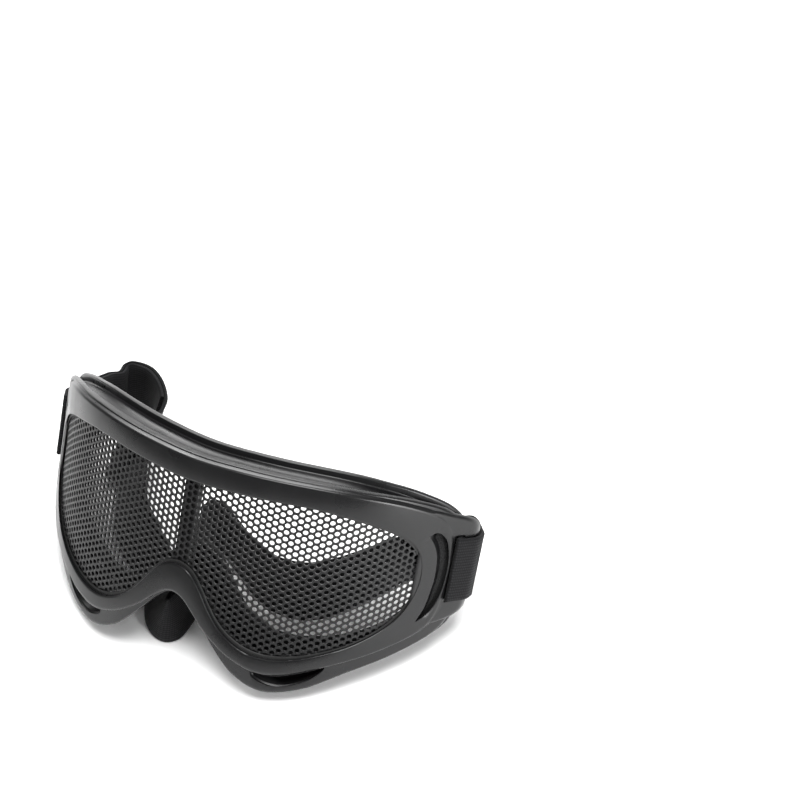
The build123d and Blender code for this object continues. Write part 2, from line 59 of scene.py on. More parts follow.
# Half the lens opening's outline: shares of its size across and up, how it grows outwards across
# and up, and the share of the rim that the raised face takes
BROW_TO_NOSE = [
    (0, 0.413, 0, 0.89, 0.92), (0.26, 0.427, 0.03, 0.87, 0.92), (0.542, 0.439, 0.07, 0.83, 0.92),
    (0.705, 0.411, 0.3, 0.9, 0.92), (0.851, 0.356, 0.46, 1.04, 0.9),
    (0.947, 0.274, 0.76, 1.08, 0.85), (0.994, 0.142, 0.86, 0.93, 0.78),
    (0.994, -0.046, 0.9, -0.12, 0.76), (0.94, -0.241, 1.15, -0.37, 0.72),
    (0.826, -0.39, 1.11, -0.43, 0.6), (0.685, -0.488, 0.86, -0.72, 0.5),
    (0.553, -0.545, 0.62, -1.2, 0.44), (0.436, -0.556, 0.3, -1.45, 0.43),
    (0.335, -0.515, 0.04, -1.33, 0.46), (0.249, -0.436, -0.06, -1.11, 0.6),
    (0.182, -0.333, -0.16, -1.01, 0.8), (0.133, -0.241, -0.25, -1.01, 0.88),
    (0.074, -0.157, -0.19, -1.16, 0.9), (0, -0.127, 0, -1.22, 0.9),
]
LAST_ROW = len(BROW_TO_NOSE) - 1
ROW_STEPS = 5
# How far back the lens and the rear edge lie: at the middle, and more with the square and the
# fourth power of the share of this reach
WRAP_REACH = 80
LENS_WRAP = (25.4, 15)
REAR_MIDDLE = 16.5
REAR_WRAP = (28.9, 5.2)


def placed(x, depth, up):
    """A place in the leaning goggles, in millimetres, as a place in the scene."""
    row = Vector((x, depth * cos(LEAN) + up * sin(LEAN), up * cos(LEAN) - depth * sin(LEAN)))
    return (MIDDLE + row) / 1000


def lens_depth(x):
    return LENS_WRAP[0] * (x / WRAP_REACH) ** 2 + LENS_WRAP[1] * (x / WRAP_REACH) ** 4


def rear_edge(x):
    square, fourth = REAR_WRAP
    return REAR_MIDDLE + square * (x / WRAP_REACH) ** 2 + fourth * (x / WRAP_REACH) ** 4


def smooth(before, start, end, after, part):
    """A value on the smooth curve through four even ones, part of the way from start to end."""
    slope_in = (end - before) / 2
    slope_out = (after - start) / 2
    bend = 2 * start - 2 * end + slope_in + slope_out
    lean_in = 3 * end - 3 * start - 2 * slope_in - slope_out
    return start + part * (slope_in + part * (lean_in + part * bend))


def mirrored(line):
    """A row of the outline as it is on the other side of the middle."""
    return [value * sign for value, sign in zip(line, (-1, 1, -1, 1, 1))]


ROWS = [mirrored(BROW_TO_NOSE[1]), *BROW_TO_NOSE, mirrored(BROW_TO_NOSE[-2])]


def outline_row(row):
    """The half outline's values at any row, smooth between the ones given."""
    low = min(int(row), LAST_ROW - 1)
    return [smooth(*four, row - low) for four in zip(*ROWS[low:low + 4])]


def outline_point(row, grow):
    """A point of the half outline, the given distance outside the lens opening."""
    px, pz, ox, oz, _ = outline_row(row)
    return (OPENING[0] * px + grow * ox, OPENING[1] * pz + grow * oz)


def raised(row, grow, rise):
    """How far outside the opening a point lies once its ring is set higher on the face."""
    _, _, ox, oz, _ = outline_row(row)
    return grow + rise * oz / (ox**2 + oz**2)


def turn(start, corner, end, steps):
    """Points on the small curve that rounds a corner."""
    shares = [step / steps for step in range(steps + 1)]
    return [start * (1 - t) ** 2 + corner * 2 * t * (1 - t) + end * t**2 for t in shares]


def rounded(corners, radii, steps=3):
    """Corners of a closed section, each turned into a small curve."""
    most = 0.45  # the share of a side that one curve may take
    points = []
    for i, radius in enumerate(radii):
        here = Vector(corners[i])
        to_before = Vector(corners[i - 1]) - here
        to_after = Vector(corners[(i + 1) % len(corners)]) - here
        start = here + to_before.normalized() * min(radius, to_before.length * most)
        end = here + to_after.normalized() * min(radius, to_after.length * most)
        points += turn(start, here, end, steps)
    return points


def drawn(name, loops, closed=False):
    """A skin extruded from one loop of points to the next, capped at its ends or closed."""
    bpy.ops.object.select_all(action="DESELECT")
    fill = "NOTHING" if closed else "NGON"
    bpy.ops.mesh.primitive_circle_add(vertices=len(loops[0]), fill_type=fill)
    piece = bpy.context.object
    piece.name = name
    piece.data.name = name
    bpy.ops.object.mode_set(mode="EDIT")
    shape = bmesh.from_edit_mesh(piece.data)
    spot = shape.verts.layers.int.new("spot")
    stage = shape.verts.layers.int.new("stage")
    for i, vertex in enumerate(shape.verts):
        vertex[spot] = i
    for step, loop in enumerate(loops + loops[:1] if closed else loops):
        if step:
            bpy.ops.mesh.extrude_region()
            shape = bmesh.from_edit_mesh(piece.data)
            spot = shape.verts.layers.int["spot"]
            stage = shape.verts.layers.int["stage"]
        for vertex in shape.verts:
            if vertex.select:
                vertex.co = loop[vertex[spot]]
                vertex[stage] = step
    bpy.ops.mesh.select_all(action="SELECT")
    if closed:
        bpy.ops.mesh.remove_doubles(threshold=1e-7)
    bpy.ops.mesh.normals_make_consistent(inside=False)
    bpy.ops.object.mode_set(mode="OBJECT")
    return piece


def ring(name, profile, radii, steps=3):
    """A moulded ring round the opening. The profile gives the section's corners at each row:
    how far outside the opening, the curve that the depth follows, and the offset from it."""
    stations = []
    halves = [(i / ROW_STEPS, 1) for i in range(LAST_ROW * ROW_STEPS + 1)]
    for row, side in halves + [(row, -1) for row, _ in halves[-2:0:-1]]:
        corners = []
        for grow, curve, offset in profile(row):
            x, _ = outline_point(row, grow)
            corners.append((grow, curve(x) + offset))
        points = []
        for grow, depth in rounded(corners, radii, steps):
            x, up = outline_point(row, grow)
            points.append(placed(side * x, depth, up))
        stations.append(points)
    return drawn(name, [list(loop) for loop in zip(*stations)], closed=True)


def between(share):
    """The curve that lies part of the way from the lens to the rear edge."""
    return lambda x: lens_depth(x) * (1 - share) + rear_edge(x) * share


def end_tuck(row):
    """How much nearer the lens the rear flange lies at the frame's ends, in millimetres."""
    most, end_row, spread = 1.9, 5.2, 2.6
    return most * max(0, 1 - ((row - end_row) / spread) ** 2) ** 1.5


def frame_profile(row):
    crease = RIM * outline_row(row)[4]
    tuck = end_tuck(row)
    lip = raised(row, RIM + 0.6 - tuck, 1.6)
    shell = raised(row, RIM - 1.3 - tuck, 0.8)
    inner = raised(row, RIM - 9, 1.6)
    return [
        # raised face
        (0, lens_depth, 0.6),
        (crease, lens_depth, 0.6),
        # stepped band and shoulder
        (crease + 0.25, between(0.1), 1.6),
        (RIM, between(0.1), 1.6),
        (RIM, between(0.3), 2.2),
        (RIM - 1.3, between(0.3), 2.5),
        # groove and rear flange
        (shell, between(0.87), -0.6),
        (lip, between(0.87), -0.6),
        (lip, rear_edge, 0),
        (inner, rear_edge, 0),
        (inner, rear_edge, -1.8),
        # cavity
        (shell - 2.4, rear_edge, -1.8),
        (RIM - 3.7, lens_depth, 4.4),
        # pocket of the lens and its trim
        (2.5, lens_depth, 4.4),
        (2.5, lens_depth, 1.9),
        (0, lens_depth, 1.9),
    ]


FRAME_RADII = [0.7, 1.0, 0.5, 1.0, 0.7, 0.5, 0.6, 0.5, 0.6, 0.4, 0.4, 0.5, 0.5, 0.2, 0.2, 0.2]
goggle_frame = ring("goggle_frame_shell", frame_profile, FRAME_RADII)

# Strap lugs: ears of the same moulding that stand out at both sides, each with an upright slot
# and a bar for the webbing.
EAR_ROOT = 76
EAR_EDGE = 89.2
EAR_FRONT = 1
EAR_DEPTH = 4.2
EAR = [(EAR_ROOT, 29.6), (EAR_EDGE, 23.6), (EAR_EDGE, -14), (EAR_ROOT, -19.6)]
SLOT = (84.6, 86.7)
SLOT_TOP = 18.3
SLOT_FOOT = -8.3
SLOT_MIDDLE = 5
TURN_STEPS = 4
SIDE_STEPS = 6


def evenly_divided(corners, radius):
    """A closed outline with rounded corners and evenly divided sides."""
    turned = rounded(corners, [radius] * len(corners), TURN_STEPS)
    each = TURN_STEPS + 1
    points = []
    for first in range(0, len(turned), each):
        corner = turned[first:first + each]
        after = turned[(first + each) % len(turned)]
        points += corner
        points += [corner[-1].lerp(after, step / SIDE_STEPS) for step in range(1, SIDE_STEPS)]
    return points


def combined(operation, tool):
    """Unites the frame with a tool or cuts the tool out of it, and puts the tool away."""
    change = goggle_frame.modifiers.new("tool", "BOOLEAN")
    change.operation = operation
    change.object = tool
    bpy.context.view_layer.objects.active = goggle_frame
    bpy.ops.object.modifier_apply(modifier="tool")
    bpy.data.objects.remove(tool)


slot_corners = [
    (SLOT[0], SLOT_TOP), (SLOT[1], SLOT_TOP), (SLOT[1], SLOT_FOOT), (SLOT[0], SLOT_FOOT),
]
ear = evenly_divided(EAR, 4)
slot = evenly_divided(slot_corners, 0.6)
for side in (1, -1):
    around = []
    for outer, hole in zip(ear, slot):
        reach = (outer - hole).length
        rear = EAR_FRONT + EAR_DEPTH
        section = [(0, EAR_FRONT), (reach, EAR_FRONT), (reach, rear), (0, rear)]
        points = []
        for along, offset in rounded(section, (0.4, 1.3, 1.3, 0.4)):
            x, up = hole.lerp(outer, along / reach)
            points.append(placed(side * x, lens_depth(x) + offset, up))
        around.append(points)
    lug = drawn("lug", [list(loop) for loop in zip(*around)], closed=True)
    combined("UNION", lug)

# Vents: openings moulded through the rim, two at the sides and two below, each with a small
# chamfer round its mouth. Rows of the outline, then shares across the rim.
SIDE_VENT = [
    (5.33, 0.35), (5.31, 0.43), (5.34, 0.52), (5.5, 0.59), (5.9, 0.65), (6.4, 0.69),
    (6.86, 0.69), (7.25, 0.64), (7.6, 0.56), (7.9, 0.43), (7.5, 0.4), (7.09, 0.375),
    (6.62, 0.37), (6.1, 0.355), (5.65, 0.34),
]
LOWER_VENT = [
    (12.28, 0.57), (11.7, 0.46), (10.9, 0.44), (10.2, 0.49), (10.5, 0.7), (11.0, 0.78),
    (11.53, 0.79), (12.0, 0.7),
]
VENT_STEPS = 4
CHAMFER = 0.45
CHAMFER_DEPTH = 0.5
CUT_FROM = -4
CUT_TO = 10.5


def vent_outline(shares, grow):
    """Smooth outline of a vent across and up, grown by a distance."""
    spots = [Vector(outline_point(row, RIM * share)) for row, share in shares]
    points = []
    for i in range(len(spots)):
        four = [spots[(i + k) % len(spots)] for k in (-1, 0, 1, 2)]
        points += [smooth(*four, step / VENT_STEPS) for step in range(VENT_STEPS)]
    centre = sum(points, Vector((0, 0))) / len(points)
    grown = []
    for i, point in enumerate(points):
        along = points[(i + 1) % len(points)] - points[i - 1]
        out = Vector((along.y, -along.x)).normalized()
        if out.dot(point - centre) < 0:
            out = -out
        grown.append(point + out * grow)
    return grown


def vent_loop(shares, grow, side, depth):
    """A vent's grown outline on one side of the frame, at a depth behind the lens's curve."""
    outline = vent_outline(shares, grow)
    return [placed(side * x, lens_depth(x) + depth, up) for x, up in outline]


for shares, mouth in ((SIDE_VENT, 0.6), (LOWER_VENT, 4.0)):
    for side in (1, -1):
        section = (
            (CHAMFER, CUT_FROM), (CHAMFER, mouth), (0, mouth + CHAMFER_DEPTH), (0, CUT_TO),
        )
        cutter = drawn("cutter", [vent_loop(shares, grow, side, depth) for grow, depth in section])
        combined("DIFFERENCE", cutter)


def smoothed(piece, angle):
    """Shades a piece smooth, apart from edges that are sharper than an angle in degrees."""
    bpy.ops.object.select_all(action="DESELECT")
    piece.select_set(True)
    bpy.context.view_layer.objects.active = piece
    bpy.ops.object.shade_smooth_by_angle(angle=radians(angle))


def linear(hex_colour):
    """An sRGB hex colour as the linear values that a shader takes."""
    parts = [int(hex_colour[i:i + 2], 16) / 255 for i in (1, 3, 5)]
    return [c / 12.92 if c <= 0.04045 else ((c + 0.055) / 1.055) ** 2.4 for c in parts] + [1]


def new_material(name, **sockets):
    """A named material and its principled shader, with values for the shader's sockets."""
    material = bpy.data.materials.new(name)
    material.use_nodes = True
    shader = material.node_tree.nodes["Principled BSDF"]
    for key, value in sockets.items():
        shader.inputs[key.replace("_", " ")].default_value = value
    return material, shader


def node(material, kind, settings=(), links=()):
    """Adds one node with its settings, and links its inputs from other nodes' outputs."""
    made = material.node_tree.nodes.new("ShaderNode" + kind)
    for key, value in dict(settings).items():
        if key in made.inputs:
            made.inputs[key].default_value = value
        else:
            setattr(made, key, value)
    for key, (source, output) in dict(links).items():
        link(material, source, output, made, key)
    return made


def link(material, source, output, target, key):
    material.node_tree.links.new(source.outputs[output], target.inputs[key])


def finished(piece, material):
    """Gives a piece its one material."""
    piece.data.materials.clear()
    piece.data.materials.append(material)


smoothed(goggle_frame, 38)
# Black ABS from a polished and lightly etched mould: satin, with soft reflections that break up
# a little where the gloss drifts.
frame_plastic, shader = new_material(
    "black_moulded_abs", Base_Color=linear("#0b0b0c"), Roughness=0.34, IOR=1.54,
    Specular_IOR_Level=0.34,
)
place = node(frame_plastic, "TexCoord")
grain = node(
    frame_plastic, "TexNoise", {"Scale": 2600, "Detail": 2}, {"Vector": (place, "Object")},
)
flow = node(frame_plastic, "TexNoise", {"Scale": 60, "Detail": 3}, {"Vector": (place, "Object")})
sheen = node(
    frame_plastic, "MapRange",
    {"From Min": 0.35, "From Max": 0.65, "To Min": 0.26, "To Max": 0.36},
    {"Value": (flow, "Fac")},
)
etch = node(
    frame_plastic, "Bump", {"Strength": 0.08, "Distance": 0.0001}, {"Height": (grain, "Fac")},
)
link(frame_plastic, sheen, "Result", shader, "Roughness")
link(frame_plastic, etch, "Normal", shader, "Normal")
finished(goggle_frame, frame_plastic)
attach(goggle_frame, "goggles")
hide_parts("goggle_frame")

# Edge trim: a soft black channel of extruded rubber, pushed over the cut edge of the mesh and
# pressed into the frame's pocket.
TRIM_FRONT = 2.0
TRIM_REAR = TRIM_FRONT + 2.2
TRIM_MOUTH = -0.9
TRIM_BACK = 2.4
TRIM_INSIDE = 1.85
TRIM_WALL = 0.45
TRIM_RADII = [0.22, 0.2, 0.2, 0.22, 0.15, 0.1, 0.1, 0.15]


def trim_profile(row):
    """A channel with its mouth towards the opening's middle, the same at every row."""
    return [
        (TRIM_MOUTH, lens_depth, TRIM_FRONT),
        (TRIM_BACK, lens_depth, TRIM_FRONT),
        (TRIM_BACK, lens_depth, TRIM_REAR),
        (TRIM_MOUTH, lens_depth, TRIM_REAR),
        (TRIM_MOUTH, lens_depth, TRIM_REAR - TRIM_WALL),
        (TRIM_INSIDE, lens_depth, TRIM_REAR - TRIM_WALL),
        (TRIM_INSIDE, lens_depth, TRIM_FRONT + TRIM_WALL),
        (TRIM_MOUTH, lens_depth, TRIM_FRONT + TRIM_WALL),
    ]


edge_trim = ring("lens_edge_trim_channel", trim_profile, TRIM_RADII, steps=2)
smoothed(edge_trim, 50)
# Extruded rubber: matt, with a faint bloom that makes it duller in patches
trim_rubber, shader = new_material(
    "black_extruded_rubber", Base_Color=linear("#0a0a0a"), Roughness=0.62, IOR=1.5,
)
place = node(trim_rubber, "TexCoord")
bloom = node(trim_rubber, "TexNoise", {"Scale": 900, "Detail": 4}, {"Vector": (place, "Object")})
matt = node(trim_rubber, "MapRange", {"To Min": 0.5, "To Max": 0.75}, {"Value": (bloom, "Fac")})
skin = node(
    trim_rubber, "Bump", {"Strength": 0.15, "Distance": 0.0001}, {"Height": (bloom, "Fac")},
)
link(trim_rubber, matt, "Result", shader, "Roughness")
link(trim_rubber, skin, "Normal", shader, "Normal")
finished(edge_trim, trim_rubber)
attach(edge_trim, "goggles")
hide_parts("lens_edge_trim")

# Lens: thin steel sheet, punched with round holes in close-packed upright columns, pressed to
# its double curve and powder coated black. One cell round one hole is copied over the sheet.
HOLE_PITCH = 2.55
HOLE_RADIUS = 0.97
SHEET = 0.8
SHEET_OVERLAP = 1.5
LENS_FRONT = TRIM_FRONT + 0.7
COLUMNS = 45
HOLES_UP = 13
EDGE_STEPS = 4
column_step = HOLE_PITCH * sqrt(3) / 2
bpy.ops.object.select_all(action="DESELECT")
bpy.ops.mesh.primitive_circle_add(vertices=12, radius=HOLE_RADIUS, fill_type="NOTHING")
mesh_lens = bpy.context.object
mesh_lens.name = "mesh_lens_sheet"
bpy.ops.object.mode_set(mode="EDIT")
bpy.ops.mesh.extrude_region()
cell = bmesh.from_edit_mesh(mesh_lens.data)
for vertex in cell.verts:
    if vertex.select:
        # every second point is a corner of the cell, the others are the middles of its sides
        angle = vertex.co.to_2d().angle_signed(Vector((1, 0)))
        at_corner = round(angle / (pi / 6)) % 2 == 0
        reach = HOLE_PITCH / 2 / (cos(pi / 6) if at_corner else 1)
        vertex.co = vertex.co.normalized() * reach
bpy.ops.object.mode_set(mode="OBJECT")
copies = [
    ("next column", 2, (column_step, HOLE_PITCH / 2)),
    ("columns", COLUMNS + 1, (2 * column_step, 0)),
    ("holes", 2 * HOLES_UP + 1, (0, HOLE_PITCH)),
]
for label, count, (across, up) in copies:
    repeat = mesh_lens.modifiers.new(label, "ARRAY")
    repeat.count = count
    repeat.use_relative_offset = False
    repeat.use_constant_offset = True
    repeat.constant_offset_displace = (across, up, 0)
    repeat.use_merge_vertices = True
    repeat.use_merge_vertices_cap = False
    repeat.merge_threshold = 0.01
    bpy.ops.object.modifier_apply(modifier=label)


# The sheet is laid out flat and then wrapped, so the columns keep their distance along the curve
ARC_STEP = 0.5
ARC_STEPS = 180
arc = [0]
for i in range(1, ARC_STEPS + 1):
    rise = lens_depth(i * ARC_STEP) - lens_depth((i - 1) * ARC_STEP)
    arc.append(arc[-1] + hypot(ARC_STEP, rise))


def wrapped(run):
    """Where across the frame a point lies that is this far along the curved sheet."""
    reach = min(abs(run), arc[-1] - 0.001)
    i = bisect_right(arc, reach)
    x = (i - (arc[i] - reach) / (arc[i] - arc[i - 1])) * ARC_STEP
    return x if run > 0 else -x


def inside(x, up, loop):
    """Whether a place across and up lies within a closed loop of such places."""
    crossings = 0
    for (x0, z0), (x1, z1) in zip(loop, loop[1:] + loop[:1]):
        if (z0 > up) != (z1 > up) and x < x0 + (x1 - x0) * (up - z0) / (z1 - z0):
            crossings += 1
    return crossings % 2 == 1


half_edge = [
    outline_point(i / EDGE_STEPS, SHEET_OVERLAP) for i in range(EDGE_STEPS * LAST_ROW + 1)
]
sheet_edge = half_edge + [(-x, up) for x, up in half_edge[-2:0:-1]]
bpy.ops.object.mode_set(mode="EDIT")
sheet = bmesh.from_edit_mesh(mesh_lens.data)
bpy.ops.mesh.select_all(action="DESELECT")
shift = Vector((-COLUMNS * column_step, -HOLES_UP * HOLE_PITCH, 0))
for vertex in sheet.verts:
    vertex.co += shift
for face in sheet.faces:
    centre = face.calc_center_median()
    if not inside(wrapped(centre.x), centre.y, sheet_edge):
        face.select_set(True)
bmesh.update_edit_mesh(mesh_lens.data)
bpy.ops.mesh.delete(type="FACE")
sheet = bmesh.from_edit_mesh(mesh_lens.data)
for vertex in sheet.verts:
    x, up = wrapped(vertex.co.x), vertex.co.y
    vertex.co = placed(x, lens_depth(x) + LENS_FRONT, up)
bpy.ops.mesh.select_all(action="SELECT")
bpy.ops.mesh.normals_make_consistent(inside=False)
bpy.ops.object.mode_set(mode="OBJECT")
middle_face = min(mesh_lens.data.polygons, key=lambda face: abs(face.center.x))
thicken = mesh_lens.modifiers.new("sheet", "SOLIDIFY")
thicken.thickness = SHEET / 1000
thicken.offset = 1 if middle_face.normal.y > 0 else -1
bpy.ops.object.modifier_apply(modifier="sheet")
smoothed(mesh_lens, 40)
# Powder coat: a thick, slightly orange-peeled black skin that catches light on the webs
mesh_metal, shader = new_material(
    "black_powder_coated_steel", Base_Color=linear("#0a0a0b"), Roughness=0.42, IOR=1.5,
    Specular_IOR_Level=0.4,
)
place = node(mesh_metal, "TexCoord")
peel = node(mesh_metal, "TexNoise", {"Scale": 1500, "Detail": 2}, {"Vector": (place, "Object")})
flecks = node(mesh_metal, "TexNoise", {"Scale": 350, "Detail": 3}, {"Vector": (place, "Object")})
gloss = node(mesh_metal, "MapRange", {"To Min": 0.34, "To Max": 0.52}, {"Value": (flecks, "Fac")})
coat = node(
    mesh_metal, "Bump", {"Strength": 0.2, "Distance": 0.00015}, {"Height": (peel, "Fac")},
)
link(mesh_metal, gloss, "Result", shader, "Roughness")
link(mesh_metal, coat, "Normal", shader, "Normal")
finished(mesh_lens, mesh_metal)
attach(mesh_lens, "goggles")
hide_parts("mesh_lens")

# Centre bar: a rubber strip behind the middle of the lens that stops it from ringing. Its solid
# has the real shape and only gets the trim's rubber.
for material_slot in bpy.data.objects["lens_centre_bar"].material_slots:
    material_slot.material = trim_rubber

# Face foam: a ring of open-cell foam, cut from sheet and glued to the rear flange, rounded
# towards the face and wider at the temples.
FOAM_WIDTH = 8
FOAM_THICKNESS = 6.3
GLUE = 0.15
TEMPLE_WIDENING = 2.2
FOAM_RADII = [0.3, 2, 2.2, 3, 2.2, 2, 0.3]


def foam_profile(row):
    outer = raised(row, RIM - 3, 1.6) - end_tuck(row)
    inner = outer - FOAM_WIDTH - end_tuck(row) * TEMPLE_WIDENING
    return [
        (outer, rear_edge, GLUE),
        (outer + 0.3, rear_edge, 3.2),
        (outer - 1.2, rear_edge, 5.7),
        (outer - FOAM_WIDTH / 2, rear_edge, FOAM_THICKNESS),
        (inner + 1.2, rear_edge, 5.7),
        (inner - 0.3, rear_edge, 3.2),
        (inner, rear_edge, GLUE),
    ]


face_foam = ring("face_foam_ring", foam_profile, FOAM_RADII)
smoothed(face_foam, 60)
# Polyurethane foam: matt, its 0.8 mm cells make the surface uneven; painted shade darkens their
# hollows
foam, shader = new_material(
    "black_polyurethane_foam", Base_Color=linear("#121213"), Roughness=0.95, IOR=1.45,
)
place = node(foam, "TexCoord")
cells = node(foam, "TexVoronoi", {"Scale": 1300}, {"Vector": (place, "Object")})
lumps = node(foam, "TexNoise", {"Scale": 240, "Detail": 4}, {"Vector": (place, "Object")})
# Painted shade: the colour goes from #101011 to #040404 where the bump below pushes the cells in
# deepest
painted_pit_shade = node(foam, "ValToRGB", links={"Fac": (cells, "Distance")})
painted_pit_shade.color_ramp.elements[0].color = linear("#101011")
painted_pit_shade.color_ramp.elements[1].color = linear("#040404")
pits = node(
    foam, "Bump", {"Strength": 0.5, "Distance": 0.0004, "invert": True},
    {"Height": (cells, "Distance")},
)
swell = node(
    foam, "Bump", {"Strength": 0.3, "Distance": 0.0005},
    {"Height": (lumps, "Fac"), "Normal": (pits, "Normal")},
)
link(foam, painted_pit_shade, "Color", shader, "Base Color")
link(foam, swell, "Normal", shader, "Normal")
finished(face_foam, foam)
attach(face_foam, "goggles")
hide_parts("face_foam")

# Vent foams: thin filter pads of the same foam, glued behind the vents against the rear of the
# rim's face.
SIDE_PAD = [
    (5.3, 0.42), (5.6, 0.57), (6.5, 0.59), (7.3, 0.59), (7.95, 0.54), (7.95, 0.36), (7.1, 0.3),
    (6.3, 0.3),
]
LOWER_PAD = [
    (12.4, 0.5), (11.6, 0.36), (10.8, 0.36), (10.15, 0.42), (10.4, 0.57), (11.5, 0.58),
    (12.2, 0.58),
]
PAD_SECTION = [(-0.5, 4.65), (-0.1, 4.9), (0, 5.4), (-0.1, 5.9), (-0.5, 6.15)]
for pad, shares in (("side", SIDE_PAD), ("lower", LOWER_PAD)):
    for word, side in (("right", 1), ("left", -1)):
        loops = [vent_loop(shares, grow, side, depth) for grow, depth in PAD_SECTION]
        vent_foam = drawn(f"vent_foam_{pad}_{word}_pad", loops)
        smoothed(vent_foam, 60)
        finished(vent_foam, foam)
        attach(vent_foam, "goggles")
        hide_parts(f"vent_foam_{pad}_{word}")

# Head strap: one length of woven elastic, 25 mm wide. It passes round the lug's bar on the left,
# lies doubled in a turn behind it, runs under the goggles, makes a bight under the nose and
# goes back to the right lug, where its end is sewn down.
WIDTH = 25
THICKNESS = 1.4
LAYER_STEP = 1.7
# Lower edge of the webbing across, back and up, and its lean across and back, in decimetres
ROUTE = [
    (-0.891, 0.772, 0.014, 0.005, 0.100), (-0.908, 0.840, 0.002, 0.015, 0.080),
    (-0.878, 0.903, 0.000, 0.020, 0.040), (-0.805, 0.925, 0.000, 0.030, 0.015),
    (-0.745, 0.880, 0.000, 0.050, 0.015), (-0.715, 0.795, 0.004, 0.085, 0.030),
    (-0.733, 0.700, 0.022, 0.120, 0.060), (-0.748, 0.617, 0.038, 0.131, 0.073),
    (-0.735, 0.593, 0.038, 0.131, 0.073), (-0.619, 0.384, 0.038, 0.131, 0.073),
    (-0.604, 0.357, 0.038, 0.131, 0.073),
    (-0.540, 0.262, 0.020, 0.128, 0.080), (-0.450, 0.190, 0.004, 0.125, 0.085),
    (-0.360, 0.130, 0.000, 0.125, 0.075), (-0.280, 0.070, 0.000, 0.145, 0.060),
    (-0.245, 0.015, 0.000, 0.150, 0.035), (-0.205, -0.035, 0.000, 0.125, 0.015),
    (-0.150, -0.070, 0.000, 0.085, 0.030), (-0.100, -0.076, 0.000, 0.040, 0.045),
    (-0.062, -0.045, 0.000, 0.005, 0.050), (-0.055, 0.015, 0.000, 0.000, 0.045),
    (-0.060, 0.090, 0.000, -0.010, 0.040), (-0.080, 0.180, 0.000, -0.030, 0.040),
    (-0.112, 0.270, 0.000, -0.045, 0.055), (-0.138, 0.338, 0.000, -0.045, 0.068),
    (-0.128, 0.372, 0.000, -0.040, 0.070), (-0.095, 0.368, 0.000, -0.035, 0.072),
    (-0.020, 0.325, 0.000, -0.025, 0.075), (0.080, 0.265, 0.000, -0.010, 0.072),
    (0.180, 0.224, 0.000, 0.000, 0.080), (0.280, 0.222, 0.000, -0.010, 0.090),
    (0.360, 0.252, 0.000, -0.020, 0.090), (0.450, 0.333, 0.000, -0.030, 0.075),
    (0.515, 0.440, 0.000, -0.025, 0.040), (0.565, 0.540, 0.000, -0.010, 0.010),
    (0.625, 0.610, 0.003, -0.012, 0.015), (0.690, 0.640, 0.020, -0.012, 0.035),
    (0.750, 0.637, 0.058, -0.008, 0.075), (0.800, 0.612, 0.103, 0.000, 0.105),
]
DOUBLED = 6  # stations of the route, from the left leg on, that lie doubled
STEPS = 4
BEND_STEPS = 5
AHEAD = 0.02
FLOOR_GAP = 0.05
BAR_GAP = 1
LEG_DEPTH = 84
LOOP_DEPTH = 78
SELVEDGE = 0.0003
SELVEDGE_SHARE = 0.45
INWARD = Vector((-0.57, 0.82))  # the way that the right end takes from its lug, across and back
LEG_UP = placed(0, 0, WIDTH) - placed(0, 0, 0)


def level(x, depth):
    """A direction across and back in the leaning goggles, as one in the scene."""
    return (placed(x, depth, 0) - placed(0, 0, 0)).normalized()


def leg_station(x, depth):
    """Lower edge of the webbing where it stands upright beside a lug, and its height."""
    return (placed(x, depth, SLOT_MIDDLE - WIDTH / 2), LEG_UP)


def floor_station(x, y, z, lean_x, lean_y):
    """Lower edge of the webbing at a place on the floor, and its height with its lean."""
    lean_x, lean_y = lean_x * 100, lean_y * 100
    lean_z = sqrt(WIDTH**2 - lean_x**2 - lean_y**2)
    corner_drop = THICKNESS / 2 * hypot(lean_x, lean_y) / WIDTH
    low = Vector((x * 100, y * 100 + MIDDLE.y, z * 100 + corner_drop + FLOOR_GAP))
    return (low / 1000, Vector((lean_x, lean_y, lean_z)) / 1000)


# The webbing's middle at a lug: its outer leg, the slot, and its corners in front of the bar
LEG = EAR_EDGE + BAR_GAP
IN_SLOT = (SLOT[0] + SLOT[1]) / 2
bar_slope = (lens_depth(EAR_EDGE) - lens_depth(SLOT[1])) / (EAR_EDGE - SLOT[1])
in_front = [
    lens_depth(SLOT[1]) + EAR_FRONT + (x - SLOT[1]) * bar_slope - BAR_GAP * hypot(1, bar_slope)
    for x in (IN_SLOT, LEG)
]
bar_rear = lens_depth(EAR_EDGE) + EAR_FRONT + EAR_DEPTH
right_corner = Vector((LEG, bar_rear + 0.8))
right_leg = right_corner + INWARD * 11
route = [leg_station(-LEG, LEG_DEPTH)]
route += [floor_station(*line) for line in ROUTE]
route += [leg_station(*right_leg)]


def on_route(place):
    """Middle of the webbing and its upward direction at any place of the route."""
    last = len(route) - 1
    low = min(int(place), last - 1)
    leg = (route[low + 1][0] - route[low][0]).length
    before = route[low - 1]
    if low == 0:
        before = (route[1][0] - level(0, 1) * leg * 2, route[0][1])
    if low + 2 <= last:
        after = route[low + 2]
    else:
        after = (route[low][0] - level(*INWARD) * leg * 2, route[last][1])
    stations = zip(before, route[low], route[low + 1], after)
    base, up = [smooth(*four, place - low) for four in stations]
    up.normalize()
    return (base + up * WIDTH / 2000, up)


def turned_path(corners, radii):
    """An open line of corners in a plane, each inner one turned into a curve."""
    points = [Vector(corners[0])]
    for before, here, after, radius in zip(corners, corners[1:], corners[2:], radii):
        here = Vector(here)
        back = (Vector(before) - here).normalized() * radius
        forth = (Vector(after) - here).normalized() * radius
        points += turn(here + back, here, here + forth, BEND_STEPS)
    return points + [Vector(corners[-1])]


